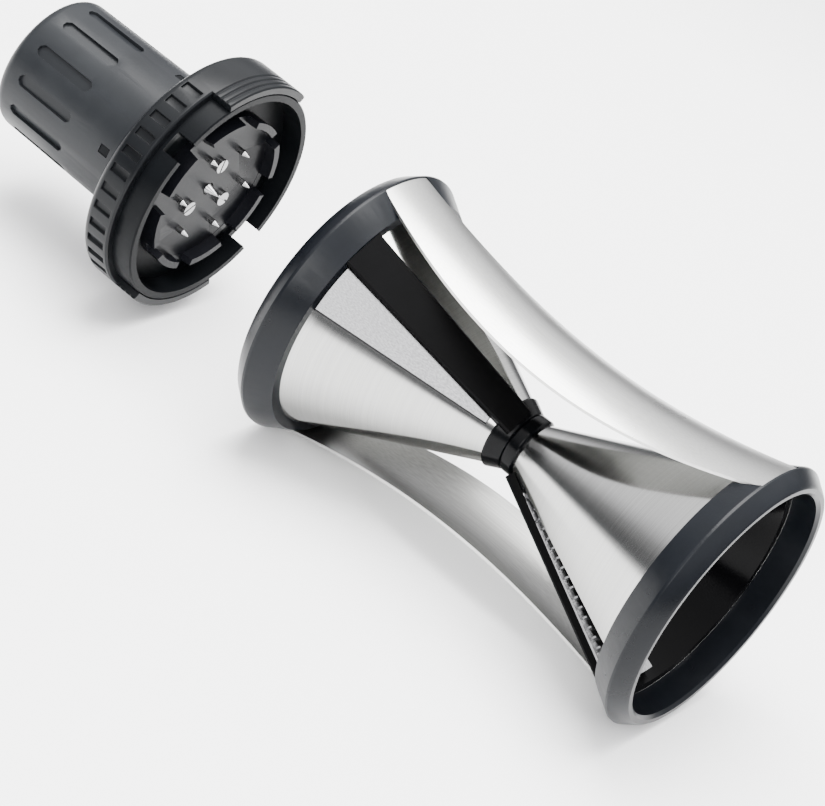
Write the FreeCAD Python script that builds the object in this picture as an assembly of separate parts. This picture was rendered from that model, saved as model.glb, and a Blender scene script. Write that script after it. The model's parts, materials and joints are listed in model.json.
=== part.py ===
"""Hand-held spiral cutter: an hourglass body with two cutting funnels, and its food holder.

Millimetres. Each piece is modelled about the cutter's axis: +Z runs from the fine end to the coarse
end, the origin is at mid height and the two side strips stand at +X and -X. The half with its mouth
upwards is modelled, and the other half is the same half turned by 180 degrees about Y. At the end
each piece is laid on its side, so that the cutter rests on its two end rings with +Z upwards, its
length along X and the food holder at -X.
"""
import FreeCAD, Part
import math
import os

# ---- driving dimensions -------------------------------------------------------------------------
BODY_LENGTH = 142.0          # end face to end face
RING_RIDGE_R = 42.0          # widest line of an end ring
RING_WALL = 5.7              # from the widest line in to the bore for the holder's skirt
RING_LEAD = 0.9              # lead of the bore at the end face
RING_FACE_WIDTH = 2.1        # width of the end face outside the lead
RING_NOSE = 0.7              # chamfer on the end face's outer edge
RING_RIDGE_DEPTH = 4.4       # from the end face to the widest line
RIDGE_LAND = 0.8             # width of the flat on the widest line
RING_DEPTH = 12.3            # from the end face to the ring's rear edge
RING_REAR_WALL = 2.9         # ring wall at its rear edge

CONE_SMALL_R = 8.4           # outside of the steel cone where it meets the waist hub
CONE_STEP = 1.3              # at the ring's rear edge the steel cone is this much inside the bore
SHELL_WALL = 0.6             # steel cone
LINER_WALL = 2.6             # plastic funnel inside the steel cone
FUNNEL_DEPTH = 8.8           # from the end face to the funnel's mouth edge
FUNNEL_FLOOR = 2.2           # floor at the funnel's small end

HUB_STEP = 0.8               # the waist hub stands out from the cones by this much
HUB_HALF = 2.2               # half of the hub's height
HUB_CHAMFER = 0.7
HUB_SPIGOT_R = 4.1           # spigots that centre the funnels
HUB_SPIGOT_RISE = 1.6

INLET_ANGLE = 7.0            # angle about +Z, in degrees, where the ramp to the blades begins
CARRIER_ANGLE = -36.0        # middle of the blade carrier
COMB_ANGLE = -30.0           # ramp ends and the comb strip begins
COMB_STEP = 0.5              # joggle between the ramp plate and the comb strip
TOOTH_START = -31.2          # teeth stand between these angles
TOOTH_END = -36.8
BLADE_EDGE = -37.5           # cutting edge of the flat blade
COMB_END = -43.2             # far edge of the comb strip
WINDOW_END = -70.0           # far edge of the exit window
BLADE_OVERLAP = 6.0          # the flat blade runs this far into the funnel wall
WINDOW_RISE = 6.8            # from the hub to the window's lower end
WINDOW_RIM = 2.6             # from the funnel's mouth edge to its upper end
RAMP_SHIFT = 2.66            # the ramp is the funnel's cone shifted sideways by this much
PLATE_THICK = 0.5            # comb blade sheet

CARRIER_WIDTH_RING = 12.8    # at the ring
CARRIER_WIDTH_HUB = 9.0      # at the hub
CARRIER_PROUD = 1.8          # height above the steel cone
CARRIER_BEVEL = 0.5
CARRIER_GAP = 0.8            # from the hub to the bar's foot
CARRIER_TUCK = 1.8           # length that enters the ring

BLADE_THICK = 0.9
BLADE_BEVEL = 1.6            # width of the ground bevel
BLADE_SEAT = 1.6             # the flat blade's ends lie this far past the window
COARSE_PITCH = 5.6
FINE_PITCH = 3.0
TOOTH_THICK = 0.5
TOOTH_MARGIN = 2.6           # from the window's ends to the first and last tooth
TOOTH_SHORT = 0.3            # teeth stop this far from the funnel's inner surface
PIN_R = 0.8
PIN_DEEP = 1.1               # length of a pin inside the carrier
PIN_COUNT = 3
PIN_FIRST = 7.0              # from the window's lower end to the first pin
PIN_LAST = 6.0               # from the last pin to the window's upper end
PIN_INSET_DEG = 2.6          # from the comb strip's far edge to the pins

STRIP_THICK = 0.8
STRIP_WAIST_R = 31.0         # outside of a strip at mid height
STRIP_FLUSH = 0.3            # the strip's ends lie this far inside the ring's widest line
STRIP_END_DEPTH = 5.0        # from the end face to the strip's end
STRIP_WAIST_HALF = 14.1      # half width at mid height
STRIP_END_HALF = 9.4         # half width at the ends
STUD_R = 1.2                 # studs on the strip's back, set in the end rings
STUD_DEPTH = 9.6             # from the end face to a stud's middle
STUD_ANGLE = 6.6             # from the strip's middle line to a stud, about the axis
STUD_LENGTH = 2.0

HOLDER_GAP = 46.0            # from the end face to the holder's mouth, as drawn apart
SKIRT_HEIGHT = 7.0
SKIRT_PLAY = 1.5             # between the skirt and the ring's bore
SKIRT_WALL = 2.4
SKIRT_GAP_COUNT = 2
SKIRT_GAP_ANGLE = -51.5      # middle of the first gap
SKIRT_GAP_DEG = 11.0
SKIRT_GAP_HEIGHT = 5.8
FLANGE_STEP = 2.4            # from the skirt's outside out to the flange
FLANGE_HEIGHT = 9.8
FLANGE_RIM_WALL = 3.6
FLANGE_ROUND = 2.4           # shoulder towards the grip
FLANGE_NOTCH_COUNT = 38      # full circle, less those on the pads
FLANGE_NOTCH_WIDTH = 2.8     # at its mouth
FLANGE_NOTCH_FLOOR = 2.2     # at its floor
FLANGE_NOTCH_DEPTH = 1.0
FLANGE_RIM = 1.4             # plain rim on the mouth side of the notches
PAD_COUNT = 2                # smooth pads that reach from the flange down over the skirt
PAD_START = -22.6
PAD_DEG = 58.0
PAD_GROOVE_COUNT = 3
PAD_GROOVE_PITCH = 2.0
PAD_GROOVE_DEPTH = 0.45
PAD_GROOVE_FIRST = 1.9       # from the mouth to the first groove
GRIP_LENGTH = 53.0           # above the flange
GRIP_R = 22.0
GRIP_END_R = 21.4
GRIP_ROUND = 3.4
GRIP_WALL = 2.2
GRIP_SINK = 1.0              # the grip's foot stands this deep in the flange
FLUTE_COUNT = 13
FLUTE_ANGLE = -55.0          # middle of the first flute
FLUTE_LENGTH = 21.0
FLUTE_WIDTH = 3.6
FLUTE_DEPTH = 0.9
FLUTE_CORNER = 0.32          # cut-off corner at a flute's ends, as a share of its width
FLUTE_TOP_GAP = 7.0          # from the closed end to a flute
BASE_THICK = 4.0             # base plate inside the flange
CORE_PLAY = 1.1              # between the grip's wall and the tube that centres it
CORE_WALL = 2.0
CORE_RISE = 2.9              # from the hooks to the tube's end
HOOK_COUNT = 4
HOOK_ANGLE = -85.0           # middle of the first hook
HOOK_WIDTH = 2.4
HOOK_HEIGHT = 3.0
HOOK_RISE = 10.8             # middle of a hook above the flange
HOOK_RECESS = 0.3            # a hook ends this far below the grip's outside
HOOK_ROOM = 0.2              # around a hook in its window
CROWN_R = 24.6
CROWN_WALL = 2.0
CROWN_FLOOR = 2.4
CLAW_COUNT = 8
CLAW_SHARE = 0.74            # claw width as a share of the pitch
CLAW_HEIGHT = 3.6
CLAW_ANGLE = -40.0           # middle of the first gap
CLAW_TIP_GAP = 0.9           # from the holder's mouth to the claws' tips
HOLD_PIN_COUNT = 6
HOLD_PIN_ANGLE = 30.0        # of the first pin
HOLD_PIN_R = 0.9
HOLD_PIN_CIRCLE = 14.0
HOLD_PIN_TIP_R = 0.15
HOLD_PIN_LENGTH = 4.0
HOLD_PIN_POINT = 1.8
HOLD_PIN_DEEP = 1.6
SCREW_COUNT = 3
SCREW_CIRCLE = 8.6
SCREW_R = 1.2
SCREW_DEEP = 2.6             # thread length in the base plate
SCREW_HEAD_R = 2.2
SCREW_HEAD_HEIGHT = 1.4
SCREW_SLOT = 0.6
SPIKE_R = 1.9
SPIKE_TIP_GAP = 0.6          # from the holder's mouth to the spike's tip
SPIKE_POINT = 4.5
SPIKE_TAIL = 2.0             # above the base plate
COLLAR_R = 4.6
COLLAR_HEIGHT = 1.6

SEAT = 0.05                  # clearance between seated pieces of one body
RUN = 0.06                   # radial running clearance of the spike
PLAY = 0.35                  # clearance around the spike's collar

# ---- sizes that follow --------------------------------------------------------------------------
MID = BODY_LENGTH / 2
CONE_TOP = MID - RING_DEPTH                  # ring's rear edge, above mid height
MOUTH = MID - FUNNEL_DEPTH                   # funnel's mouth edge, above mid height
RING_BORE_R = RING_RIDGE_R - RING_WALL
RING_MOUTH_R = RING_BORE_R + RING_LEAD
RING_FACE_R = RING_MOUTH_R + RING_FACE_WIDTH
CONE_LARGE_R = RING_BORE_R - CONE_STEP       # outside of the steel cone at the ring's rear edge
CONE_SLOPE = (CONE_LARGE_R - CONE_SMALL_R) / (CONE_TOP - HUB_HALF)
FUNNEL_WALL = SHELL_WALL + LINER_WALL
WINDOW_FOOT = HUB_HALF + WINDOW_RISE         # window's lower end, above mid height
WINDOW_HEAD = MOUTH - WINDOW_RIM             # window's upper end
HUB_R = CONE_SMALL_R + HUB_STEP
STRIP_END_R = RING_RIDGE_R - STRIP_FLUSH
SKIRT_R = RING_BORE_R - SKIRT_PLAY
FLANGE_R = SKIRT_R + FLANGE_STEP
CORE_R = GRIP_END_R - GRIP_WALL - CORE_PLAY
HOLDER_MOUTH = MID + HOLDER_GAP
FLANGE_FOOT = HOLDER_MOUTH + SKIRT_HEIGHT
FLANGE_HEAD = FLANGE_FOOT + FLANGE_HEIGHT
HOLDER_END = FLANGE_HEAD + GRIP_LENGTH
HALF_TOTAL = (MID + HOLDER_END) / 2
SLIT_FOOT = WINDOW_FOOT + SEAT
SLIT_HEAD = WINDOW_HEAD - SEAT
AXIS = FreeCAD.Vector(0, 0, 1)
CENTRE = FreeCAD.Vector(0, 0, 0)


def cone_r(height, inset=0.0):
    """Radius of the cone at a height above mid height, inset towards the axis."""
    return CONE_SMALL_R + CONE_SLOPE * (height - HUB_HALF) - inset


def apex(inset=0.0):
    """Height at which the cone that lies inset inside the steel one closes to a point."""
    return HUB_HALF - (CONE_SMALL_R - inset) / CONE_SLOPE


# ---- small helpers ------------------------------------------------------------------------------
def outline(points):
    """Face in the XZ plane. A point is (x, z); an arc is (x mid, z mid, x end, z end)."""
    edges = []
    at = FreeCAD.Vector(points[0][0], 0, points[0][1])
    first = at
    for point in points[1:]:
        end = FreeCAD.Vector(point[-2], 0, point[-1])
        if len(point) == 4:
            middle = FreeCAD.Vector(point[0], 0, point[1])
            edges.append(Part.Arc(at, middle, end).toShape())
        else:
            edges.append(Part.LineSegment(at, end).toShape())
        at = end
    edges.append(Part.LineSegment(at, first).toShape())
    return Part.Face(Part.Wire(edges))


def spun(points, start=0.0, sweep=360.0):
    """Solid of revolution about Z from an XZ outline, from one angle over a sweep in degrees."""
    solid = outline(points).revolve(CENTRE, AXIS, sweep)
    solid.rotate(CENTRE, AXIS, start)
    return solid


def cone_sector(inset_in, inset_out, low, high, start, end):
    """Piece of conical wall between two insets, two heights above mid height and two angles."""
    return spun([(cone_r(low, inset_in), low), (cone_r(low, inset_out), low),
                 (cone_r(high, inset_out), high), (cone_r(high, inset_in), high)],
                start, end - start)


def turned(shape, degrees):
    """Copy turned about the cutter's axis."""
    copy = shape.copy()
    copy.rotate(CENTRE, AXIS, degrees)
    return copy


def flipped(shape):
    """Copy for the other half: turned by 180 degrees about Y at mid height."""
    copy = shape.copy()
    copy.rotate(CENTRE, FreeCAD.Vector(0, 1, 0), 180)
    return copy


def around(shape, count, start=0.0):
    """Copies evenly spaced about the axis."""
    return [turned(shape, start + 360.0 * i / count) for i in range(count)]


def prism(corners, reach):
    """Solid swept along a vector from a flat polygon of corners."""
    return Part.Face(Part.makePolygon(corners + corners[:1])).extrude(reach)


def disc(radius, low, high):
    """Cylinder about the axis between two heights."""
    return Part.makeCylinder(radius, high - low, FreeCAD.Vector(0, 0, low))


def tidy(shape):
    """One clean solid where there is one."""
    clean = shape.removeSplitter()
    return clean.Solids[0] if len(clean.Solids) == 1 else clean


class Slope:
    """Flat frame that leans with a cone: along its line, across it and out from it."""

    def __init__(self, foot, slope, angle):
        self.lean = math.atan(slope)
        self.foot = foot
        self.along = FreeCAD.Vector(math.sin(self.lean), 0, math.cos(self.lean))
        self.across = FreeCAD.Vector(0, 1, 0)
        self.out = FreeCAD.Vector(math.cos(self.lean), 0, -math.sin(self.lean))
        self.angle = angle

    def at(self, along, across, out):
        """Point of the frame before it is turned to its angle."""
        start = FreeCAD.Vector(0, 0, self.foot)
        return start + self.along * along + self.across * across + self.out * out

    def length(self, height):
        """Distance along the line at which it reaches a height above mid height."""
        return (height - self.foot) / math.cos(self.lean)

    def polygon(self, corners):
        """Closed wire through (along, across, out) corners."""
        points = [self.at(*corner) for corner in corners]
        return Part.makePolygon(points + points[:1])

    def bar(self, first, last):
        """Solid ruled from one polygon of corners to another with as many."""
        loft = Part.makeLoft([self.polygon(first), self.polygon(last)], True, True)
        return turned(loft, self.angle)

    def peg(self, along, across, low, high, radius):
        """Round pin square to the frame."""
        pin = Part.makeCylinder(radius, high - low, self.at(along, across, low), self.out)
        return turned(pin, self.angle)


# ---- side strips --------------------------------------------------------------------------------
STRIP_REACH = MID - STRIP_END_DEPTH
STRIP_RISE = STRIP_END_R - STRIP_WAIST_R
STRIP_BEND = (STRIP_REACH ** 2 + STRIP_RISE ** 2) / (2 * STRIP_RISE)


def strip_r(height, inset=0.0):
    """Outside radius of a strip at a height above mid height."""
    return STRIP_WAIST_R - inset + STRIP_BEND - math.sqrt(STRIP_BEND ** 2 - height ** 2)


def strip_blank(inset):
    """Block along +X with the strip's outline, inset at its sides and ends."""
    waist = STRIP_WAIST_HALF - inset
    end = STRIP_END_HALF - inset
    tall = STRIP_REACH - inset
    a = FreeCAD.Vector(0, end, -tall)
    b = FreeCAD.Vector(0, end, tall)
    c = FreeCAD.Vector(0, -end, tall)
    d = FreeCAD.Vector(0, -end, -tall)
    edges = [Part.Arc(a, FreeCAD.Vector(0, waist, 0), b).toShape(),
             Part.LineSegment(b, c).toShape(),
             Part.Arc(c, FreeCAD.Vector(0, -waist, 0), d).toShape(),
             Part.LineSegment(d, a).toShape()]
    return Part.Face(Part.Wire(edges)).extrude(FreeCAD.Vector(2 * RING_RIDGE_R, 0, 0))


def strip_wall(inset_in, inset_out):
    """Hourglass wall on the +X side between two insets below the strip's outside."""
    tall = STRIP_REACH + 1
    return spun([(strip_r(-tall, inset_out), -tall),
                 (strip_r(0, inset_out), 0, strip_r(tall, inset_out), tall),
                 (strip_r(tall, inset_in), tall),
                 (strip_r(0, inset_in), 0, strip_r(-tall, inset_in), -tall)], -45.0, 90.0)


def studs(radius, length):
    """Pair of pins behind the upper end of the strip on the +X side, square to it."""
    height = MID - STUD_DEPTH
    lean = math.asin(height / STRIP_BEND)
    inwards = FreeCAD.Vector(-math.cos(lean), 0, math.sin(lean))
    foot = FreeCAD.Vector(strip_r(height), 0, height) + inwards * (STRIP_THICK / 2)
    pin = Part.makeCylinder(radius, STRIP_THICK / 2 + length, foot, inwards)
    return [turned(pin, STUD_ANGLE), turned(pin, -STUD_ANGLE)]


def side_strip():
    """Steel strip that joins the two end rings, with two studs behind each end."""
    strip = strip_wall(STRIP_THICK, 0.0).common(strip_blank(0.0))
    pins = studs(STUD_R, STUD_LENGTH)
    lower = [flipped(turned(pin, 180)) for pin in pins]
    return tidy(strip.fuse(pins + lower))


# ---- funnel, blades and carrier of the upper half -----------------------------------------------
CARRIER = Slope(apex(), CONE_SLOPE, CARRIER_ANGLE)
TEETH = Slope(apex(SHELL_WALL / 2), CONE_SLOPE, (TOOTH_START + TOOTH_END) / 2)
BLADE_MIDDLE = (BLADE_EDGE + WINDOW_END - BLADE_OVERLAP) / 2
BLADE_HALF = math.radians(BLADE_EDGE - BLADE_MIDDLE)
BLADE = Slope(apex(FUNNEL_WALL), CONE_SLOPE * math.cos(BLADE_HALF), BLADE_MIDDLE)
BLADE_SPREAD = math.cos(BLADE.lean) * CONE_SLOPE * math.sin(BLADE_HALF)


def cone_shell():
    """Steel cone, open where the blades and the exit window are."""
    shell = cone_sector(SHELL_WALL, 0.0, HUB_HALF + SEAT, MOUTH, 0.0, 360.0)
    window = cone_sector(SHELL_WALL + 1, -1.0, WINDOW_FOOT, WINDOW_HEAD, WINDOW_END, COMB_ANGLE)
    return tidy(shell.cut(window))


def ramp(inset_in, inset_out, low, high, start, end):
    """Conical wall shifted sideways, so that it sinks into the funnel wall towards the blades."""
    side = math.radians(INLET_ANGLE - 90)
    wall = spun([(cone_r(low, inset_in), low), (cone_r(low, inset_out), low),
                 (cone_r(high, inset_out), high), (cone_r(high, inset_in), high)])
    wall.translate(FreeCAD.Vector(math.cos(side), math.sin(side), 0) * RAMP_SHIFT)
    return wall.common(cone_sector(cone_r(low) - 1, -2.0, low, high, start, end))


def comb_blade(pitch):
    """Steel sheet that lies on the ramp, steps down under the carrier and bears the teeth."""
    sheet = ramp(FUNNEL_WALL, FUNNEL_WALL - PLATE_THICK, SLIT_FOOT, SLIT_HEAD,
                 COMB_ANGLE - COMB_STEP, INLET_ANGLE - SEAT)
    strip = cone_sector(SHELL_WALL, SEAT, SLIT_FOOT, SLIT_HEAD, COMB_END, COMB_ANGLE - SEAT)
    riser = cone_sector(FUNNEL_WALL - 1.2, SHELL_WALL / 2, SLIT_FOOT, SLIT_HEAD,
                        COMB_ANGLE - COMB_STEP, COMB_ANGLE - SEAT)
    above = ramp(FUNNEL_WALL + 6, FUNNEL_WALL - PLATE_THICK / 2, SLIT_FOOT - 1, SLIT_HEAD + 1,
                 COMB_ANGLE - 2, COMB_ANGLE + 2)
    blade = strip.fuse([sheet, riser.cut(above)])
    first = WINDOW_FOOT + TOOTH_MARGIN
    last = WINDOW_HEAD - TOOTH_MARGIN
    count = int((last - first) / (pitch * math.cos(TEETH.lean))) + 1
    start = (first + last - (count - 1) * pitch * math.cos(TEETH.lean)) / 2
    depth = (FUNNEL_WALL - TOOTH_SHORT - SHELL_WALL / 2) * math.cos(TEETH.lean)
    for i in range(count):
        height = start + i * pitch * math.cos(TEETH.lean)
        along = TEETH.length(height)
        half = cone_r(height) * math.radians(TOOTH_START - TOOTH_END) / 2
        faces = [[(end, half, -depth), (end, half, 0), (end, -half, 0), (end, -half, -depth)]
                 for end in (along - TOOTH_THICK / 2, along + TOOTH_THICK / 2)]
        blade = blade.fuse(TEETH.bar(*faces))
    return tidy(blade)


def flat_blade(grow=0.0):
    """Flat plate along the exit window, with its ground cutting edge beside the comb."""
    low = BLADE.length(WINDOW_FOOT - BLADE_SEAT) - grow
    high = BLADE.length(WINDOW_HEAD + BLADE_SEAT) + grow

    def section(along):
        wide = BLADE_SPREAD * along
        return [(along, wide + grow, -grow), (along, wide - BLADE_BEVEL + grow, BLADE_THICK + grow),
                (along, -wide - grow, BLADE_THICK + grow), (along, -wide - grow, -grow)]

    return BLADE.bar(section(low), section(high))


def blade_pins():
    """Pins that hold the comb strip to the carrier and the flat blade to the funnel wall."""
    pins = []
    for i in range(PIN_COUNT):
        span = WINDOW_HEAD - PIN_LAST - WINDOW_FOOT - PIN_FIRST
        height = WINDOW_FOOT + PIN_FIRST + i * span / (PIN_COUNT - 1)
        along = CARRIER.length(height)
        across = math.radians(COMB_END + PIN_INSET_DEG - CARRIER_ANGLE) * cone_r(height) * 0.98
        sink = cone_r(height) - math.sqrt(cone_r(height) ** 2 - across ** 2)
        pins.append(CARRIER.peg(along, across, -SHELL_WALL - sink, PIN_DEEP, PIN_R))
    return pins


def blade_carrier(grow=0.0):
    """Bar that crosses the cone beside the exit window and backs the comb strip."""
    low = CARRIER.length(HUB_HALF + CARRIER_GAP) - grow
    high = CARRIER.length(CONE_TOP + CARRIER_TUCK) + grow

    def section(along, width, deep):
        half = width / 2 + grow
        top = CARRIER_PROUD + grow
        bevel = CARRIER_BEVEL
        return [(along, -half, -deep), (along, half, -deep), (along, half, top - bevel),
                (along, half - bevel, top), (along, -half + bevel, top),
                (along, -half, top - bevel)]

    deep = CARRIER_WIDTH_RING / 2
    bar = CARRIER.bar(section(low, CARRIER_WIDTH_HUB, deep),
                      section(high, CARRIER_WIDTH_RING, deep))
    start = HUB_HALF / 2
    cone = cone_sector(cone_r(start) - SEAT, -SEAT, start, MID, 0.0, 360.0)
    return bar.cut(cone)


def funnel_liner():
    """Plastic funnel with the ramp, the slit and the pocket of the flat blade."""
    floor = HUB_HALF + SEAT
    top = floor + FUNNEL_FLOOR
    skin = SHELL_WALL + SEAT
    bore = HUB_SPIGOT_R + SEAT
    liner = spun([(bore, floor), (cone_r(floor, skin), floor), (cone_r(MOUTH, skin), MOUTH),
                  (cone_r(MOUTH, FUNNEL_WALL), MOUTH), (cone_r(top, FUNNEL_WALL), top),
                  (bore, top)])
    slit = cone_sector(FUNNEL_WALL + 1, -1.0, WINDOW_FOOT, WINDOW_HEAD, WINDOW_END, COMB_ANGLE)
    recess = ramp(FUNNEL_WALL + 4, FUNNEL_WALL - PLATE_THICK - SEAT, WINDOW_FOOT, WINDOW_HEAD,
                  COMB_ANGLE - 0.5, INLET_ANGLE)
    liner = liner.cut(slit).cut(recess).cut(flat_blade(SEAT))
    return tidy(liner)


# ---- end ring -----------------------------------------------------------------------------------
def ring_outer(depth):
    """Outside radius of an end ring behind its widest line, at a depth below the end face."""
    rear = CONE_LARGE_R + RING_REAR_WALL
    start = RING_RIDGE_DEPTH + RIDGE_LAND
    return RING_RIDGE_R + (rear - RING_RIDGE_R) * (depth - start) / (RING_DEPTH - start)


def end_frame():
    """End ring of the frame, with seats for the cone and pockets for the strips."""
    seat_top = MOUTH + SEAT
    ring = spun([(RING_BORE_R, seat_top), (RING_BORE_R, MID - RING_LEAD), (RING_MOUTH_R, MID),
                 (RING_FACE_R - RING_NOSE, MID), (RING_FACE_R, MID - RING_NOSE * 0.8),
                 (RING_RIDGE_R, MID - RING_RIDGE_DEPTH),
                 (RING_RIDGE_R, MID - RING_RIDGE_DEPTH - RIDGE_LAND),
                 (ring_outer(RING_DEPTH), CONE_TOP),
                 (cone_r(CONE_TOP, -SEAT), CONE_TOP),
                 (cone_r(seat_top, -SEAT), seat_top)])
    pocket = strip_wall(STRIP_THICK + SEAT, -4.0).common(strip_blank(-SEAT))
    tools = Part.makeCompound([pocket] + studs(STUD_R + SEAT, STUD_LENGTH + SEAT))
    for angle in (0, 180):
        ring = ring.cut(turned(tools, angle))
    return tidy(ring.cut(blade_carrier(SEAT)))


# ---- waist hub ----------------------------------------------------------------------------------
def waist_hub():
    """Disc between the two funnels, with a spigot into each."""
    rise = HUB_HALF + HUB_SPIGOT_RISE
    return spun([(0, -rise), (HUB_SPIGOT_R - 0.3, -rise), (HUB_SPIGOT_R, -rise + 0.3),
                 (HUB_SPIGOT_R, -HUB_HALF), (HUB_R - HUB_CHAMFER, -HUB_HALF),
                 (HUB_R, -HUB_HALF + HUB_CHAMFER), (HUB_R, HUB_HALF - HUB_CHAMFER),
                 (HUB_R - HUB_CHAMFER, HUB_HALF), (HUB_SPIGOT_R, HUB_HALF),
                 (HUB_SPIGOT_R, rise - 0.3), (HUB_SPIGOT_R - 0.3, rise), (0, rise)])


# ---- food holder --------------------------------------------------------------------------------
def hook_blocks(reach, grow=0.0):
    """Blocks on the core tube that snap into the grip's windows, up to a radius."""
    low = FLANGE_HEAD + HOOK_RISE - HOOK_HEIGHT / 2 - grow
    start = CORE_R - CORE_WALL / 2
    block = Part.makeBox(reach - start, HOOK_WIDTH + 2 * grow, HOOK_HEIGHT + 2 * grow,
                         FreeCAD.Vector(start, -HOOK_WIDTH / 2 - grow, low))
    return around(block, HOOK_COUNT, HOOK_ANGLE)


def holder_base():
    """Base plate with the skirt, the core tube and the collar's pocket."""
    wall_in = SKIRT_R - SKIRT_WALL
    plate_r = FLANGE_R - FLANGE_RIM_WALL - SEAT
    top = FLANGE_FOOT + BASE_THICK
    core_top = FLANGE_HEAD + HOOK_RISE + HOOK_HEIGHT / 2 + CORE_RISE
    pocket_r = COLLAR_R + PLAY
    pocket_top = FLANGE_FOOT + COLLAR_HEIGHT + 2 * PLAY
    hole = SPIKE_R + RUN
    base = spun([(hole, pocket_top), (pocket_r, pocket_top), (pocket_r, FLANGE_FOOT),
                 (wall_in, FLANGE_FOOT), (wall_in, HOLDER_MOUTH),
                 (SKIRT_R - 0.4, HOLDER_MOUTH), (SKIRT_R, HOLDER_MOUTH + 0.4),
                 (SKIRT_R, FLANGE_FOOT - SEAT), (plate_r, FLANGE_FOOT - SEAT), (plate_r, top),
                 (CORE_R, top), (CORE_R, core_top), (CORE_R - CORE_WALL, core_top),
                 (CORE_R - CORE_WALL, top), (hole, top)])
    gap = spun([(wall_in - 1, HOLDER_MOUTH - 1), (SKIRT_R + 1, HOLDER_MOUTH - 1),
                (SKIRT_R + 1, HOLDER_MOUTH + SKIRT_GAP_HEIGHT),
                (wall_in - 1, HOLDER_MOUTH + SKIRT_GAP_HEIGHT)],
               -SKIRT_GAP_DEG / 2, SKIRT_GAP_DEG)
    base = base.cut(Part.makeCompound(around(gap, SKIRT_GAP_COUNT, SKIRT_GAP_ANGLE)))
    base = base.fuse(hook_blocks(GRIP_R - HOOK_RECESS))
    thread = Part.makeCylinder(SCREW_R, SCREW_DEEP, FreeCAD.Vector(SCREW_CIRCLE, 0, FLANGE_FOOT))
    return tidy(base.cut(Part.makeCompound(around(thread, SCREW_COUNT))))


def pad_angle(angle):
    """Angle past the start of the pad that lies before it."""
    return (angle - PAD_START) % (360.0 / PAD_COUNT)


def flange_ring():
    """Stepped flange over the base plate, notched around its rim, with two grooved pads."""
    rim_in = FLANGE_R - FLANGE_RIM_WALL
    roof = FLANGE_FOOT + BASE_THICK + SEAT
    seat = GRIP_R + SEAT
    seat_floor = FLANGE_HEAD - GRIP_SINK
    bend = FLANGE_ROUND * (1 - math.sqrt(0.5))
    flange = spun([(CORE_R + SEAT, roof), (rim_in, roof), (rim_in, FLANGE_FOOT),
                   (FLANGE_R - 0.5, FLANGE_FOOT), (FLANGE_R, FLANGE_FOOT + 0.5),
                   (FLANGE_R, FLANGE_HEAD - FLANGE_ROUND),
                   (FLANGE_R - bend, FLANGE_HEAD - bend,
                    FLANGE_R - FLANGE_ROUND, FLANGE_HEAD),
                   (seat, FLANGE_HEAD), (seat, seat_floor), (CORE_R + SEAT, seat_floor)])
    floor_r = FLANGE_R - FLANGE_NOTCH_DEPTH
    spread = (FLANGE_NOTCH_WIDTH - FLANGE_NOTCH_FLOOR) / FLANGE_NOTCH_DEPTH
    low = FLANGE_FOOT + FLANGE_RIM
    corners = [(floor_r, -FLANGE_NOTCH_FLOOR / 2), (floor_r, FLANGE_NOTCH_FLOOR / 2),
               (FLANGE_R + 1, FLANGE_NOTCH_WIDTH / 2 + spread / 2),
               (FLANGE_R + 1, -FLANGE_NOTCH_WIDTH / 2 - spread / 2)]
    notch = prism([FreeCAD.Vector(x, y, low) for x, y in corners],
                  FreeCAD.Vector(0, 0, FLANGE_HEAD - FLANGE_ROUND - low))
    pitch = 360.0 / FLANGE_NOTCH_COUNT
    angles = [i * pitch for i in range(FLANGE_NOTCH_COUNT)]
    notches = [turned(notch, angle) for angle in angles
               if PAD_DEG + pitch / 2 < pad_angle(angle) < 360.0 / PAD_COUNT - pitch / 2]
    pad_in = SKIRT_R + SEAT
    low = HOLDER_MOUTH
    high = FLANGE_FOOT + 1.0
    outline_points = [(pad_in, low), (FLANGE_R - 0.4, low), (FLANGE_R, low + 0.4)]
    for i in range(PAD_GROOVE_COUNT):
        middle = low + PAD_GROOVE_FIRST + i * PAD_GROOVE_PITCH
        outline_points += [(FLANGE_R, middle - PAD_GROOVE_DEPTH),
                           (FLANGE_R - PAD_GROOVE_DEPTH, middle),
                           (FLANGE_R, middle + PAD_GROOVE_DEPTH)]
    outline_points += [(FLANGE_R, high), (pad_in, high)]
    pad = spun(outline_points, PAD_START, PAD_DEG)
    flange = flange.cut(Part.makeCompound(notches)).fuse(around(pad, PAD_COUNT))
    return tidy(flange)


def grip_shell():
    """Closed knob with long shallow flutes near its end and windows for the hooks."""
    foot = FLANGE_HEAD - GRIP_SINK + SEAT
    bend = GRIP_ROUND * (1 - math.sqrt(0.5))
    inner = GRIP_END_R - GRIP_WALL
    inner_top = HOLDER_END - GRIP_WALL
    grip = spun([(GRIP_R - GRIP_WALL, foot), (GRIP_R, foot),
                 (GRIP_END_R, HOLDER_END - GRIP_ROUND),
                 (GRIP_END_R - bend, HOLDER_END - bend, GRIP_END_R - GRIP_ROUND, HOLDER_END),
                 (0, HOLDER_END), (0, inner_top), (inner, inner_top)])
    high = HOLDER_END - FLUTE_TOP_GAP
    low = high - FLUTE_LENGTH
    half = FLUTE_WIDTH / 2
    nip = FLUTE_WIDTH * FLUTE_CORNER
    corners = [(-half, low + nip), (-half + nip, low), (half - nip, low), (half, low + nip),
               (half, high - nip), (half - nip, high), (-half + nip, high), (-half, high - nip)]
    at = GRIP_END_R - FLUTE_DEPTH
    flute = prism([FreeCAD.Vector(at, across, height) for across, height in corners],
                  FreeCAD.Vector(4, 0, 0))
    grip = grip.cut(Part.makeCompound(around(flute, FLUTE_COUNT, FLUTE_ANGLE)))
    windows = hook_blocks(GRIP_R + 0.3, HOOK_ROOM)
    return tidy(grip.cut(Part.makeCompound(windows)))


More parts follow.
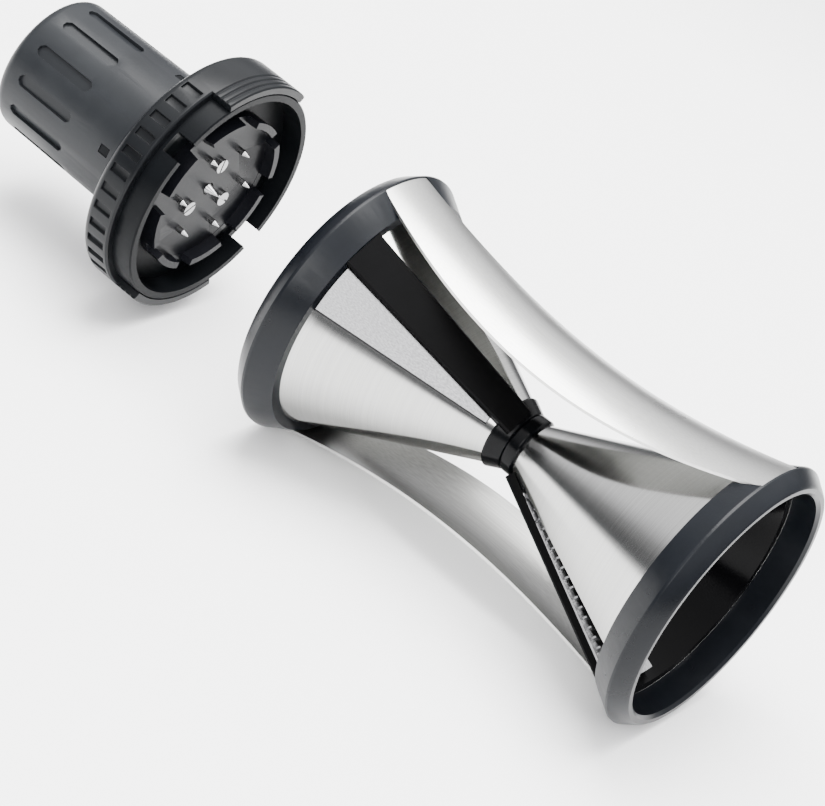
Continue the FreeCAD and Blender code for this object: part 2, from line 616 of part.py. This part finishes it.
def claw_crown():
    """Disc under the base plate with a ring of claws."""
    low = FLANGE_FOOT - CROWN_FLOOR
    tip = HOLDER_MOUTH + CLAW_TIP_GAP
    wall_in = CROWN_R - CROWN_WALL
    hole = SPIKE_R + RUN
    top = FLANGE_FOOT - SEAT
    crown = spun([(hole, low), (wall_in, low), (wall_in, tip), (CROWN_R, tip), (CROWN_R, top),
                  (hole, top)])
    pitch = 2 * math.pi * CROWN_R / CLAW_COUNT
    gap = pitch * (1 - CLAW_SHARE) / 2
    corners = [(tip - 1, gap + 0.7), (tip + CLAW_HEIGHT, gap), (tip + CLAW_HEIGHT, -gap),
               (tip - 1, -gap - 0.7)]
    points = [FreeCAD.Vector(CROWN_R + 1, across, height) for height, across in corners]
    notch = prism(points, FreeCAD.Vector(-CROWN_WALL - 2.0, 0, 0))
    crown = crown.cut(Part.makeCompound(around(notch, CLAW_COUNT, CLAW_ANGLE)))
    pin = Part.makeCylinder(HOLD_PIN_R, HOLD_PIN_DEEP, FreeCAD.Vector(HOLD_PIN_CIRCLE, 0, low))
    crown = crown.cut(Part.makeCompound(around(pin, HOLD_PIN_COUNT, HOLD_PIN_ANGLE)))
    shank = Part.makeCylinder(SCREW_R + SEAT, CROWN_FLOOR + 2,
                              FreeCAD.Vector(SCREW_CIRCLE, 0, low - 1))
    return tidy(crown.cut(Part.makeCompound(around(shank, SCREW_COUNT))))


def holding_pins():
    """Pointed steel pins set in the crown's disc."""
    low = FLANGE_FOOT - CROWN_FLOOR
    point = low - HOLD_PIN_LENGTH
    pin = spun([(0, point), (HOLD_PIN_TIP_R, point), (HOLD_PIN_R, point + HOLD_PIN_POINT),
                (HOLD_PIN_R, low + HOLD_PIN_DEEP), (0, low + HOLD_PIN_DEEP)])
    pin.translate(FreeCAD.Vector(HOLD_PIN_CIRCLE, 0, 0))
    return around(pin, HOLD_PIN_COUNT, HOLD_PIN_ANGLE)


def crown_screws():
    """Slotted screws that hold the crown to the base plate."""
    face = FLANGE_FOOT - CROWN_FLOOR
    screw = disc(SCREW_R, face - 0.2, FLANGE_FOOT + SCREW_DEEP - 0.1)
    screw = screw.fuse(disc(SCREW_HEAD_R, face - SCREW_HEAD_HEIGHT, face))
    slot = Part.makeBox(2 * SCREW_HEAD_R, SCREW_SLOT, SCREW_SLOT,
                        FreeCAD.Vector(-SCREW_HEAD_R, -SCREW_SLOT / 2, face - SCREW_HEAD_HEIGHT))
    screw = tidy(screw.cut(slot))
    screw.translate(FreeCAD.Vector(SCREW_CIRCLE, 0, 0))
    return around(screw, SCREW_COUNT)


def food_spike():
    """Centre spike on which the holder turns, with the collar that keeps it in the holder."""
    tip = HOLDER_MOUTH + SPIKE_TIP_GAP
    collar = FLANGE_FOOT + PLAY
    tail = FLANGE_FOOT + BASE_THICK + SPIKE_TAIL
    return spun([(0, tip), (SPIKE_R, tip + SPIKE_POINT), (SPIKE_R, collar), (COLLAR_R, collar),
                 (COLLAR_R, collar + COLLAR_HEIGHT), (SPIKE_R, collar + COLLAR_HEIGHT),
                 (SPIKE_R, tail - 0.4), (SPIKE_R - 0.4, tail), (0, tail)])


# ---- all pieces ---------------------------------------------------------------------------------
def pieces():
    """Every piece by name, in the cutter's own frame."""
    made = {}
    pins = blade_pins()
    tools = Part.makeCompound(pins)
    carrier = tidy(blade_carrier().cut(tools))
    halves = {"end_frame": end_frame(), "cone_shell": cone_shell(), "funnel_liner": funnel_liner(),
              "blade_carrier": carrier, "flat_blade": flat_blade(), "blade_pins": tools}
    for name, shape in halves.items():
        made[name + "_b"] = shape
        made[name + "_a"] = flipped(shape)
    made["comb_blade_b"] = tidy(comb_blade(COARSE_PITCH).cut(tools))
    made["comb_blade_a"] = flipped(tidy(comb_blade(FINE_PITCH).cut(tools)))
    made["waist_hub"] = waist_hub()
    strip = side_strip()
    made["side_strip_top"] = strip
    made["side_strip_bottom"] = turned(strip, 180)
    made["food_spike"] = food_spike()
    made["holder_base"] = holder_base()
    made["flange_ring"] = flange_ring()
    made["grip_shell"] = grip_shell()
    made["claw_crown"] = claw_crown()
    made["holding_pins"] = Part.makeCompound(holding_pins())
    made["crown_screws"] = Part.makeCompound(crown_screws())
    return made


def laid_down(shape):
    """The piece on its side: +Z of the cutter along -X, its +X upwards, at rest on the rings."""
    down = FreeCAD.Placement(FreeCAD.Vector(HALF_TOTAL - MID, 0, RING_RIDGE_R),
                             FreeCAD.Rotation(FreeCAD.Vector(0, 1, 0), -90))
    copy = shape.copy()
    copy.transformShape(down.toMatrix())
    return copy


os.makedirs("parts", exist_ok=True)
for piece_name, piece_shape in pieces().items():
    laid_down(piece_shape).exportStep("parts/" + piece_name + ".step")
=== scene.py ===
"""Looks of the hand-held spiral cutter: finishes, rounded pieces, floor, light and camera.

Metres, in the frame of the CAD model: the cutter lies along X with its axis at height AXIS_Z, the
fine end at +X, the food holder at -X and the side strips above and below.
"""

import json
import math

import bmesh
import bpy
from mathutils import Matrix, Vector


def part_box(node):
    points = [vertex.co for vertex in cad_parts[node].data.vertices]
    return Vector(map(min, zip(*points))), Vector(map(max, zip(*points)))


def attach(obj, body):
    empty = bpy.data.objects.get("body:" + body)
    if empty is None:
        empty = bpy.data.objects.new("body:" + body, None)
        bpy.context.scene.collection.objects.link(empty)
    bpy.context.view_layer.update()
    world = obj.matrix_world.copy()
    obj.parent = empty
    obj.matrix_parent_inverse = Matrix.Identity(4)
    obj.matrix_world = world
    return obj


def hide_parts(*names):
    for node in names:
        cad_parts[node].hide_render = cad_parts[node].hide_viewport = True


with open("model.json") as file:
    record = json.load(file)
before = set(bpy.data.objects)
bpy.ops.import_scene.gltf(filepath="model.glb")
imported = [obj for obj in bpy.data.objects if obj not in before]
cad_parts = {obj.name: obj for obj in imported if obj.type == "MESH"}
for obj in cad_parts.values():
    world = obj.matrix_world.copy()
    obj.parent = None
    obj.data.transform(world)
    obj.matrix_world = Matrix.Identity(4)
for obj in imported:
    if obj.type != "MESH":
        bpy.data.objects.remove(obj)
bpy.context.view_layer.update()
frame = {"nodes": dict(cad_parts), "record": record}
NODES = frame["nodes"]
BODY_OF = {node: body for body, nodes in frame["record"]["behaviour"]["bodies"].items()
           for node in nodes}

# ---- driving values -----------------------------------------------------------------------------
MM = 0.001
RING_LOW, RING_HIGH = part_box("end_frame_a")
AXIS_Z = (RING_LOW.z + RING_HIGH.z) / 2
HUB_LOW, HUB_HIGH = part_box("waist_hub")
WAIST_X = (HUB_LOW.x + HUB_HIGH.x) / 2

MERGE_WITHIN = 0.002 * MM              # vertices closer than this are one
FLAT_WITHIN = math.radians(0.6)        # faces that meet at less than this are one
ROUND_ABOVE = math.radians(28.0)       # edges sharper than this are rounded
SHADE_SHARP_ABOVE = math.radians(32.0)

# rounding of the edges, in millimetres
MOULDED_EDGES = {"waist_hub": 0.6, "flange_ring": 0.35, "holder_base": 0.35, "grip_shell": 0.5,
                 "claw_crown": 0.4, "blade_carrier_a": 0.5, "blade_carrier_b": 0.5}
RING_EDGE = 0.9
RING_RIDGE = 2.4
RIDGE_SEGMENTS = 6
RIDGE_BAND = 0.06            # vertices this near to the greatest radius lie on the ridge
STRIP_EDGE = 0.12
COLLAR_EDGE = 0.3
COLLAR_STEPS = 96
# (distance from the waist, radius) in millimetres, around the neck of the coarse cone
COLLAR_PROFILE = ((1.9, 8.1), (1.9, 9.15), (6.3, 11.3), (7.0, 10.85), (6.4, 10.1))

FLOOR_REACH = 6.0
# the floor turns grey from the middle outwards: painted shade
FLOOR_PALE_TO, FLOOR_SHADE_FROM = 0.36, 0.85      # distance from the middle
LIGHT_AIM = (0.0, 0.0, 0.04)

LENS = 152.7                 # millimetres
SENSOR_WIDTH = 36.0          # millimetres
CAMERA_AIM = Vector((28.85, -15.09, 39.33)) * MM
CAMERA_DISTANCE = 937.6 * MM
CAMERA_AZIMUTH = math.radians(24.70)
CAMERA_ELEVATION = math.radians(30.54)
CAMERA_ROLL = math.radians(25.98)
CAMERA_SEES_TO = 20.0


# ---- node helpers -------------------------------------------------------------------------------
class Finish:
    """A procedural material around one Principled shader, built node by node."""

    def __init__(self, name, color, metallic, roughness):
        self.material = bpy.data.materials.new(name)
        self.material.use_nodes = True
        self.tree = self.material.node_tree
        self.shader = self.tree.nodes["Principled BSDF"]
        self.shader.inputs["Base Color"].default_value = (*color, 1)
        self.shader.inputs["Metallic"].default_value = metallic
        self.shader.inputs["Roughness"].default_value = roughness

    def add(self, kind, **values):
        """New node, with its named properties set."""
        node = self.tree.nodes.new(kind)
        for key, value in values.items():
            setattr(node, key, value)
        return node

    def link(self, source, target):
        self.tree.links.new(source, target)

    def place(self, scale, centre=(0, 0, 0)):
        """Object coordinates about a centre, scaled per axis (copies per metre)."""
        coords = self.add("ShaderNodeTexCoord")
        mapping = self.add("ShaderNodeMapping", vector_type="POINT")
        mapping.inputs["Location"].default_value = [-c * s for c, s in zip(centre, scale)]
        mapping.inputs["Scale"].default_value = scale
        self.link(coords.outputs["Object"], mapping.inputs["Vector"])
        return mapping.outputs["Vector"]

    def noise(self, vector, detail, roughness=0.55):
        """Noise over coordinates that are already scaled."""
        node = self.add("ShaderNodeTexNoise")
        node.inputs["Scale"].default_value = 1.0
        node.inputs["Detail"].default_value = detail
        node.inputs["Roughness"].default_value = roughness
        self.link(vector, node.inputs["Vector"])
        return node.outputs["Fac"]

    def tint(self, value, first, second, start=0.3, end=0.7):
        """Colour from the first at the start to the second at the end."""
        ramp = self.add("ShaderNodeValToRGB")
        stops = ramp.color_ramp.elements
        stops[0].position, stops[0].color = start, (*first, 1)
        stops[1].position, stops[1].color = end, (*second, 1)
        self.link(value, ramp.inputs["Fac"])
        self.link(ramp.outputs["Color"], self.shader.inputs["Base Color"])

    def rough(self, value, low, high, start=0.3, end=0.7):
        """Roughness from low at the start to high at the end."""
        spread = self.add("ShaderNodeMapRange")
        spread.inputs["From Min"].default_value = start
        spread.inputs["From Max"].default_value = end
        spread.inputs["To Min"].default_value = low
        spread.inputs["To Max"].default_value = high
        self.link(value, spread.inputs["Value"])
        self.link(spread.outputs["Result"], self.shader.inputs["Roughness"])

    def bump(self, value, depth, strength=0.2):
        """Relief of a depth in metres."""
        node = self.add("ShaderNodeBump")
        node.inputs["Strength"].default_value = strength
        node.inputs["Distance"].default_value = depth
        self.link(value, node.inputs["Height"])
        self.link(node.outputs["Normal"], self.shader.inputs["Normal"])


# scales of the patterns, in copies per metre
HANDLING_MARKS = 45.0
MOULD_GRAIN = 1400.0
STEEL_MARKS = 30.0
BRUSH_ALONG = 10.0
BRUSH_ACROSS = 3200.0
TURNING_LINES = 4200.0

GRAIN_DEPTH = 0.05 * MM
BRUSH_DEPTH = 0.01 * MM


def moulded_plastic(name, dark, light, rough_low, rough_high, ior):
    """Satin moulding with a fine spark-eroded grain and faint handling marks."""
    finish = Finish(name, light, 0.0, rough_high)
    marks = finish.noise(finish.place((HANDLING_MARKS,) * 3), 4.0)
    grain = finish.noise(finish.place((MOULD_GRAIN,) * 3), 2.0)
    finish.tint(marks, dark, light)
    finish.rough(marks, rough_low, rough_high)
    finish.bump(grain, GRAIN_DEPTH)
    finish.shader.inputs["IOR"].default_value = ior
    return finish.material


def lined_steel(name, scale, centre, dark, light, rough_low, rough_high):
    """Steel with fine lines, long along the axes whose scale is small."""
    finish = Finish(name, light, 1.0, rough_high)
    lines = finish.noise(finish.place(scale, centre), 2.0, 0.5)
    marks = finish.noise(finish.place((STEEL_MARKS,) * 3), 3.0)
    finish.tint(lines, dark, light)
    finish.rough(marks, rough_low, rough_high)
    finish.bump(lines, BRUSH_DEPTH)
    return finish.material


def brushed_steel(name, dark, light, rough_low, rough_high):
    """Steel brushed along the cutter."""
    return lined_steel(name, (BRUSH_ALONG, BRUSH_ACROSS, BRUSH_ACROSS), (0, 0, 0),
                       dark, light, rough_low, rough_high)


def turned_steel(name, dark, light, rough_low, rough_high):
    """Steel brushed around the cutter's axis, so that the lines are rings."""
    return lined_steel(name, (TURNING_LINES, BRUSH_ALONG, BRUSH_ALONG), (0, 0, AXIS_Z),
                       dark, light, rough_low, rough_high)


# ---- finishes -----------------------------------------------------------------------------------
RING_PLASTIC = moulded_plastic("ring_plastic", (0.0026, 0.0032, 0.0044), (0.0046, 0.0056, 0.0076),
                               0.26, 0.34, 1.24)
LINER_PLASTIC = moulded_plastic("liner_plastic", (0.0006, 0.0006, 0.0008),
                                (0.0012, 0.0012, 0.0015), 0.10, 0.16, 1.14)
CARRIER_PLASTIC = moulded_plastic("carrier_plastic", (0.0009, 0.0009, 0.0010),
                                  (0.0016, 0.0016, 0.0018), 0.34, 0.44, 1.11)
HUB_PLASTIC = moulded_plastic("hub_plastic", (0.0010, 0.0012, 0.0015), (0.0020, 0.0022, 0.0027),
                              0.16, 0.24, 1.18)
BASE_PLASTIC = moulded_plastic("base_plastic", (0.0020, 0.0024, 0.0030),
                               (0.0036, 0.0042, 0.0050), 0.34, 0.44, 1.14)
FLANGE_PLASTIC = moulded_plastic("flange_plastic", (0.0030, 0.0035, 0.0042),
                                 (0.0055, 0.0062, 0.0072), 0.28, 0.38, 1.22)
GRIP_PLASTIC = moulded_plastic("grip_plastic", (0.0060, 0.0068, 0.0082), (0.0105, 0.0118, 0.0136),
                               0.34, 0.44, 1.27)
CROWN_PLASTIC = moulded_plastic("crown_plastic", (0.0026, 0.0028, 0.0038),
                                (0.0050, 0.0053, 0.0070), 0.26, 0.36, 1.18)
STRIP_STEEL = brushed_steel("strip_steel", (0.46, 0.46, 0.45), (0.54, 0.54, 0.525), 0.26, 0.32)
# darker copy of the strip steel for the strips' inner sides: painted shade
STRIP_INNER_SHADE_STEEL = brushed_steel("strip_inner_shade_steel", (0.17, 0.17, 0.165), (0.23, 0.23, 0.222),
                                 0.30, 0.38)
CONE_STEEL = turned_steel("cone_steel", (0.37, 0.37, 0.36), (0.44, 0.44, 0.43), 0.11, 0.16)
BLADE_STEEL = brushed_steel("blade_steel", (0.26, 0.26, 0.265), (0.36, 0.36, 0.365), 0.16, 0.22)
# flat blades in a much darker copy of the blade steel: painted shade that dims their reflections
FLAT_BLADE_SHADED_STEEL = brushed_steel("flat_blade_shaded_steel", (0.09, 0.09, 0.092), (0.14, 0.14, 0.143),
                                 0.18, 0.24)
PIN_STEEL = turned_steel("pin_steel", (0.24, 0.24, 0.245), (0.34, 0.34, 0.34), 0.22, 0.30)

FINISHES = {
    "end_frame_a": RING_PLASTIC, "end_frame_b": RING_PLASTIC,
    "cone_shell_a": CONE_STEEL, "cone_shell_b": CONE_STEEL,
    "funnel_liner_a": LINER_PLASTIC, "funnel_liner_b": LINER_PLASTIC,
    "blade_carrier_a": CARRIER_PLASTIC, "blade_carrier_b": CARRIER_PLASTIC,
    "flat_blade_a": FLAT_BLADE_SHADED_STEEL, "flat_blade_b": FLAT_BLADE_SHADED_STEEL,
    "comb_blade_a": BLADE_STEEL, "comb_blade_b": BLADE_STEEL,
    "blade_pins_a": PIN_STEEL, "blade_pins_b": PIN_STEEL,
    "waist_hub": HUB_PLASTIC,
    "side_strip_top": STRIP_STEEL, "side_strip_bottom": STRIP_STEEL,
    "food_spike": PIN_STEEL, "holding_pins": PIN_STEEL, "crown_screws": PIN_STEEL,
    "holder_base": BASE_PLASTIC, "flange_ring": FLANGE_PLASTIC,
    "grip_shell": GRIP_PLASTIC, "claw_crown": CROWN_PLASTIC,
}


# ---- pieces -------------------------------------------------------------------------------------
def dress(node_name, material):
    """Gives a CAD node its finish, in place of the plain one."""
    mesh = NODES[node_name].data
    mesh.materials.clear()
    mesh.materials.append(material)


def piece_with_soft_edges(name, shape, node_name, materials, width, segments=3):
    """Piece with rounded edges that moves and is finished as a node of the same body."""
    mesh = bpy.data.meshes.new(name)
    shape.to_mesh(mesh)
    shape.free()
    for material in materials:
        mesh.materials.append(material)
    piece = bpy.data.objects.new(name, mesh)
    bpy.context.scene.collection.objects.link(piece)
    edges = piece.modifiers.new("edges", "BEVEL")
    edges.width = width * MM
    edges.segments = segments
    edges.limit_method = "ANGLE"
    edges.angle_limit = ROUND_ABOVE
    edges.use_clamp_overlap = True
    edges.harden_normals = False
    mesh.set_sharp_from_angle(angle=SHADE_SHARP_ABOVE)
    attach(piece, BODY_OF[node_name])
    return piece


def from_axis(point):
    """Distance from the cutter's axis."""
    return math.hypot(point.y, point.z - AXIS_Z)


def round_ridge(shape):
    """Rounds the circle where an end ring is widest."""
    widest = max(from_axis(vert.co) for vert in shape.verts)
    ridge = [edge for edge in shape.edges
             if all(from_axis(vert.co) > widest - RIDGE_BAND * MM for vert in edge.verts)]
    bmesh.ops.bevel(shape, geom=ridge, offset=RING_RIDGE * MM, offset_type="OFFSET",
                    segments=RIDGE_SEGMENTS, profile=0.5, affect="EDGES", material=-1,
                    clamp_overlap=True)


def mark_shaded_side(shape):
    """Gives a strip's inner side the second material, a darker copy of the strip steel: painted
    shade.
    """
    for face in shape.faces:
        centre = face.calc_center_median()
        inward = Vector((0, -centre.y, AXIS_Z - centre.z)).normalized()
        face.material_index = 1 if face.normal.dot(inward) > 0.5 else 0


def softened(node_name, width, segments=3, shaping=None, painted_shade_finish=None):
    """Copy of a node with rounded edges, shown in its place."""
    shape = bmesh.new()
    shape.from_mesh(NODES[node_name].data)
    bmesh.ops.remove_doubles(shape, verts=shape.verts, dist=MERGE_WITHIN)
    bmesh.ops.dissolve_limit(shape, angle_limit=FLAT_WITHIN, verts=shape.verts,
                             edges=shape.edges)
    bmesh.ops.dissolve_degenerate(shape, dist=MERGE_WITHIN, edges=shape.edges)
    if shaping:
        shaping(shape)
    materials = [FINISHES[node_name]] + ([painted_shade_finish] if painted_shade_finish else [])
    piece = piece_with_soft_edges(node_name + "_finished", shape, node_name, materials, width,
                                  segments)
    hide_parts(node_name)


def neck_collar():
    """Black collar between the waist hub, the foot of the blade carrier and the coarse cone."""
    shape = bmesh.new()
    corners = [shape.verts.new((WAIST_X - along * MM, 0, AXIS_Z + radius * MM))
               for along, radius in COLLAR_PROFILE]
    outline = [shape.edges.new((corners[i], corners[i - 1])) for i in range(len(corners))]
    bmesh.ops.spin(shape, geom=corners + outline, cent=(0, 0, AXIS_Z), axis=(1, 0, 0),
                   angle=2 * math.pi, steps=COLLAR_STEPS, use_merge=True, use_duplicate=False)
    bmesh.ops.remove_doubles(shape, verts=shape.verts, dist=MERGE_WITHIN)
    bmesh.ops.recalc_face_normals(shape, faces=shape.faces)
    piece_with_soft_edges("neck_collar", shape, "waist_hub", [HUB_PLASTIC], COLLAR_EDGE)


for node_name, material in FINISHES.items():
    dress(node_name, material)
for node_name, width in MOULDED_EDGES.items():
    softened(node_name, width)
for node_name in ("end_frame_a", "end_frame_b"):
    softened(node_name, RING_EDGE, shaping=round_ridge)
# the strips' inner sides get the darker copy of their steel: painted shade
for node_name in ("side_strip_top", "side_strip_bottom"):
    softened(node_name, STRIP_EDGE, segments=2, shaping=mark_shaded_side, painted_shade_finish=STRIP_INNER_SHADE_STEEL)
neck_collar()


# ---- floor, light and camera --------------------------------------------------------------------
def studio_floor():
    """Large pale floor under the rings, greyer far away from the cutter: painted shade that grows
    with distance.
    """
    pale, far_shade = (0.95, 0.95, 0.95), (0.24, 0.24, 0.245)
    finish = Finish("floor_paper_with_painted_shade", pale, 0.0, 0.9)
    coords = finish.add("ShaderNodeTexCoord")
    distance = finish.add("ShaderNodeVectorMath", operation="LENGTH")
    finish.link(coords.outputs["Object"], distance.inputs[0])
    finish.tint(distance.outputs["Value"], pale, far_shade, FLOOR_PALE_TO, FLOOR_SHADE_FROM)
    shape = bmesh.new()
    bmesh.ops.create_grid(shape, x_segments=1, y_segments=1, size=FLOOR_REACH)
    mesh = bpy.data.meshes.new("floor")
    shape.to_mesh(mesh)
    shape.free()
    mesh.materials.append(finish.material)
    floor = bpy.data.objects.new("floor", mesh)
    bpy.context.scene.collection.objects.link(floor)


def soft_light(name, at, size, power):
    """Square area light at a point, turned towards the cutter."""
    lamp = bpy.data.lights.new(name, "AREA")
    lamp.shape = "SQUARE"
    lamp.size = size
    lamp.energy = power
    light = bpy.data.objects.new(name, lamp)
    bpy.context.scene.collection.objects.link(light)
    light.location = at
    light.rotation_euler = (Vector(LIGHT_AIM) - Vector(at)).to_track_quat("-Z", "Y").to_euler()


def surround():
    """Studio light from all round: dark at the horizon, bright overhead."""
    world = bpy.data.worlds.new("studio")
    world.use_nodes = True
    tree = world.node_tree
    background = tree.nodes["Background"]
    coords = tree.nodes.new("ShaderNodeTexCoord")
    split = tree.nodes.new("ShaderNodeSeparateXYZ")
    ramp = tree.nodes.new("ShaderNodeValToRGB")
    stops = ramp.color_ramp.elements
    stops[0].position, stops[0].color = 0.02, (0.06, 0.062, 0.066, 1)
    stops[1].position, stops[1].color = 0.85, (1.0, 1.0, 1.0, 1)
    for at, tone in ((0.12, 0.09), (0.24, 0.20), (0.40, 0.62)):
        stop = stops.new(at)
        stop.color = (tone, tone, tone * 1.03, 1)
    tree.links.new(coords.outputs["Generated"], split.inputs["Vector"])
    tree.links.new(split.outputs["Z"], ramp.inputs["Fac"])
    tree.links.new(ramp.outputs["Color"], background.inputs["Color"])
    background.inputs["Strength"].default_value = 3.0
    bpy.context.scene.world = world


def studio_camera():
    """Camera that looks down on the cutter from the fine end's side, rolled so that it slants."""
    lens = bpy.data.cameras.new("camera")
    lens.lens = LENS
    lens.sensor_width = SENSOR_WIDTH
    lens.sensor_fit = "HORIZONTAL"
    lens.clip_end = CAMERA_SEES_TO
    camera = bpy.data.objects.new("camera", lens)
    bpy.context.scene.collection.objects.link(camera)
    turn = (Matrix.Rotation(CAMERA_AZIMUTH, 4, "Z")
            @ Matrix.Rotation(math.pi / 2 - CAMERA_ELEVATION, 4, "X")
            @ Matrix.Rotation(CAMERA_ROLL, 4, "Z"))
    camera.matrix_world = (Matrix.Translation(CAMERA_AIM) @ turn
                           @ Matrix.Translation((0, 0, CAMERA_DISTANCE)))
    bpy.context.scene.camera = camera


studio_floor()
surround()
soft_light("overhead", (-0.1, 0.1, 1.3), 1.1, 72.0)
soft_light("front", (0.55, -1.2, 0.75), 0.7, 16.0)
studio_camera()
